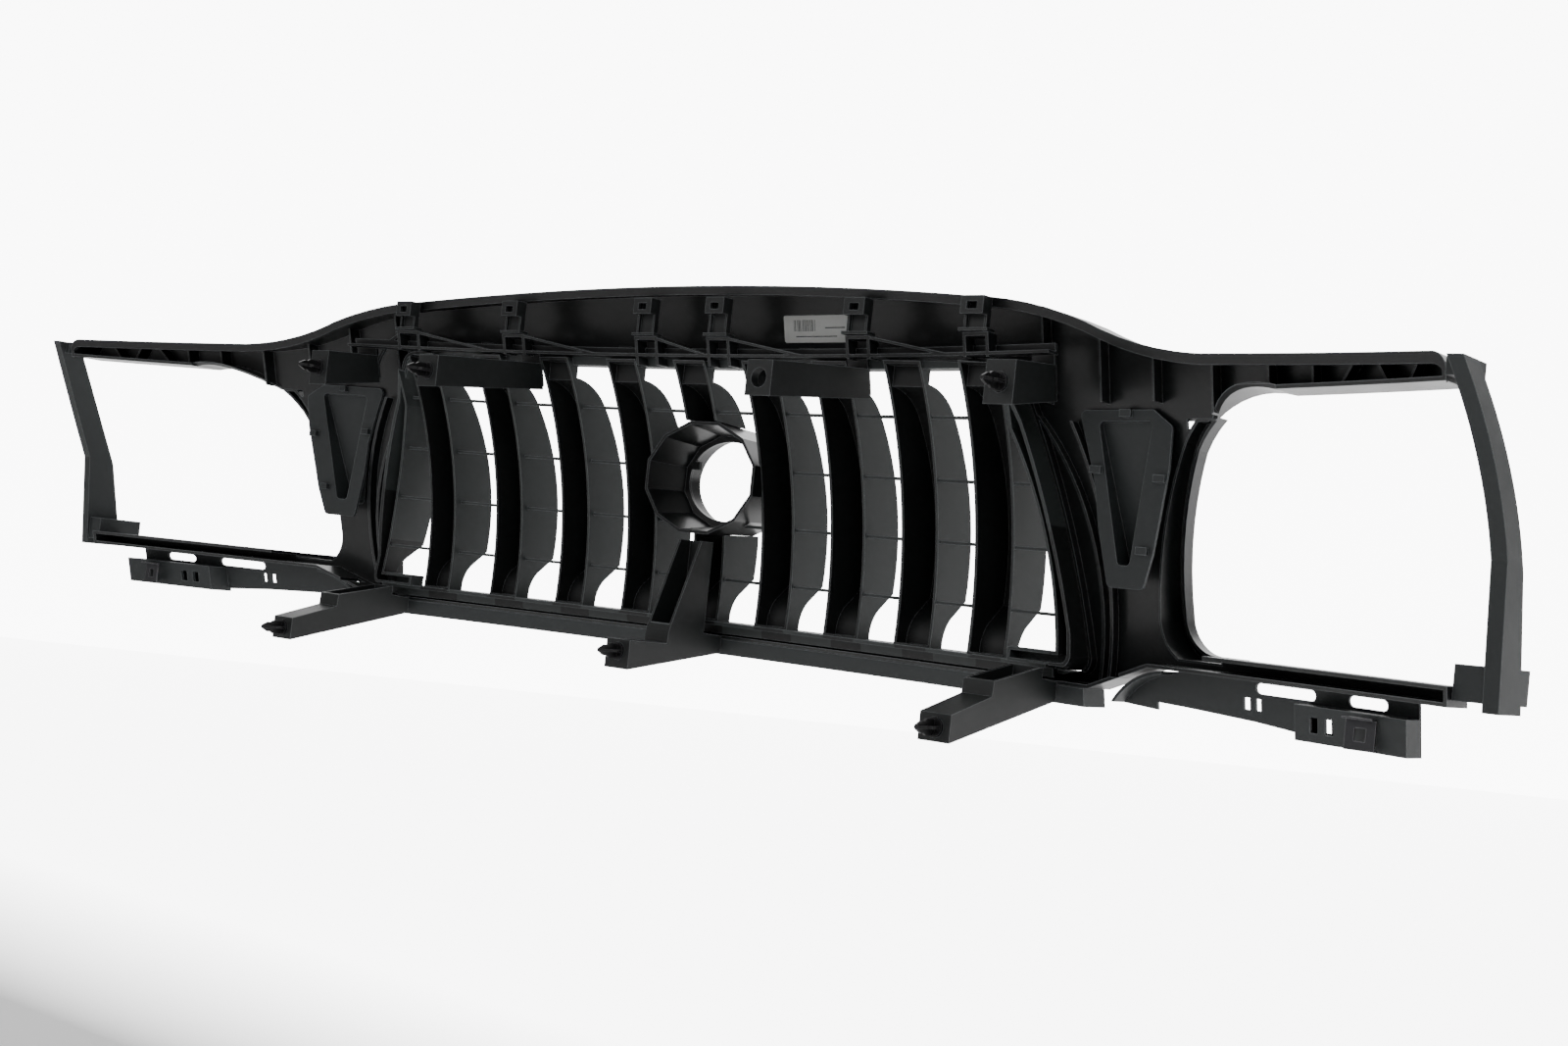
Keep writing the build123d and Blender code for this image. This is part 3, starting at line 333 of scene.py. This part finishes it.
label_paper = printed_paper("Printed label paper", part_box("part_label")[0])


def dress(node, material):
    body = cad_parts[node]
    body.data.materials.clear()
    body.data.materials.append(material)


FINISH = {
    "surround_shell": shell_plastic,
    "grille_insert": insert_plastic,
    "emblem_housing": cup_plastic,
    "retainer_clips": clip_nylon,
    "part_label": label_paper,
    "upper_carrier": carrier_plastic,
    "lower_carrier": plate_plastic,
}
FAMILIES = (
    ("spring_clip", spring_steel), ("corner_insert", plate_plastic), ("end_post", plate_plastic),
    ("lower_bracket", plate_plastic), ("upper_arm", arm_plastic), ("lower_arm", arm_plastic),
    ("hook_bracket", arm_plastic),
)
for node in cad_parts:
    family = [material for prefix, material in FAMILIES if node.startswith(prefix)]
    dress(node, FINISH.get(node) or family[0])


# ---------------------------------------------------------------- floor, light and camera
CAMERA_PLACE = Vector((-1.2600, 1.3393, 0.0891))
CAMERA_LOOK = Vector((0.62796, -0.77768, 0.02957))
CAMERA_UP = Vector((0.0620, 0.08786, 0.99420))
FLOOR_DROP = 0.55  # the grille hangs this far above the paper
WALL_DISTANCE = 8.0


def glowing_paper(name, strength, cast, start, end):
    """White studio paper, brightest beyond the object; cast is the share of its glow that lights things."""
    material = bpy.data.materials.new(name)
    material.use_nodes = True
    tree = material.node_tree
    shader = tree.nodes["Principled BSDF"]
    parts = add_node(tree, "ShaderNodeSeparateXYZ")
    fade = add_node(tree, "ShaderNodeMapRange")
    fade.inputs["From Min"].default_value, fade.inputs["From Max"].default_value = start, end
    tree.links.new(object_position(tree), parts.inputs[0])
    tree.links.new(parts.outputs["Y"], fade.inputs["Value"])
    seen = add_node(tree, "ShaderNodeLightPath").outputs["Is Camera Ray"]
    paper = mix_colour(tree, seen, (cast, cast, cast), (1.0, 1.0, 1.0))
    glow = mix_colour(tree, fade.outputs["Result"], (0.0, 0.0, 0.0), paper)
    tree.links.new(glow, shader.inputs["Emission Color"])
    shader.inputs["Emission Strength"].default_value = strength
    shader.inputs["Base Color"].default_value = (0.85, 0.85, 0.85, 1.0)
    shader.inputs["Roughness"].default_value = 0.9
    return material


def paper_sheet(name, size, material, place, turn):
    mesh = bpy.data.meshes.new(name)
    net = bmesh.new()
    bmesh.ops.create_grid(net, x_segments=2, y_segments=2, size=size)
    net.to_mesh(mesh)
    net.free()
    mesh.materials.append(material)
    sheet = bpy.data.objects.new(name, mesh)
    sheet.matrix_world = Matrix.Translation(place) @ turn
    bpy.context.collection.objects.link(sheet)


def softbox(name, place, size, power, target=(0.0, 0.0, 0.15)):
    lamp = bpy.data.lights.new(name, "AREA")
    lamp.shape, lamp.size, lamp.size_y = "RECTANGLE", size[0], size[1]
    lamp.energy = power
    body = bpy.data.objects.new(name, lamp)
    body.location = place
    body.rotation_mode = "QUATERNION"
    body.rotation_quaternion = (Vector(target) - Vector(place)).to_track_quat("-Z", "Y")
    bpy.context.collection.objects.link(body)


def white_surroundings(strength):
    world = bpy.data.worlds.new("Studio air")
    world.use_nodes = True
    sky = world.node_tree.nodes["Background"]
    sky.inputs["Color"].default_value = (1.0, 1.0, 1.0, 1.0)
    sky.inputs["Strength"].default_value = strength
    bpy.context.scene.world = world


def aim_camera():
    lens = bpy.data.cameras.new("Studio camera")
    lens.sensor_width, lens.lens = 36.0, 46.125
    lens.clip_start, lens.clip_end = 0.05, 60.0
    camera = bpy.data.objects.new("Studio camera", lens)
    look = CAMERA_LOOK.normalized()
    up = CAMERA_UP
    right = look.cross(up).normalized()
    up = right.cross(look)
    turn = Matrix((right, up, -look)).transposed()
    camera.matrix_world = Matrix.Translation(CAMERA_PLACE) @ turn.to_4x4()
    bpy.context.collection.objects.link(camera)
    bpy.context.scene.camera = camera


level_look = Vector((CAMERA_LOOK.x, CAMERA_LOOK.y, 0.0))
floor_paper = glowing_paper("Studio floor paper", 7.0, 0.14, -0.15, -0.75)
wall_paper = glowing_paper("Studio wall paper", 9.0, 0.22, -100.0, -99.0)
paper_sheet("Studio floor", 14.0, floor_paper, (0.0, 0.0, cad_low.z - FLOOR_DROP), Matrix())
upright = level_look.to_track_quat("Z", "Y").to_matrix().to_4x4()
paper_sheet("Studio wall", 12.0, wall_paper, level_look * WALL_DISTANCE, upright)
softbox("Key softbox", (-2.4, 2.2, 1.5), (1.2, 1.2), 20.0)
softbox("Fill softbox", (0.9, 3.2, 1.6), (2.4, 1.6), 22.0)
softbox("Top softbox", (0.0, -0.3, 2.4), (2.6, 1.2), 22.0)
white_surroundings(0.2)
aim_camera()
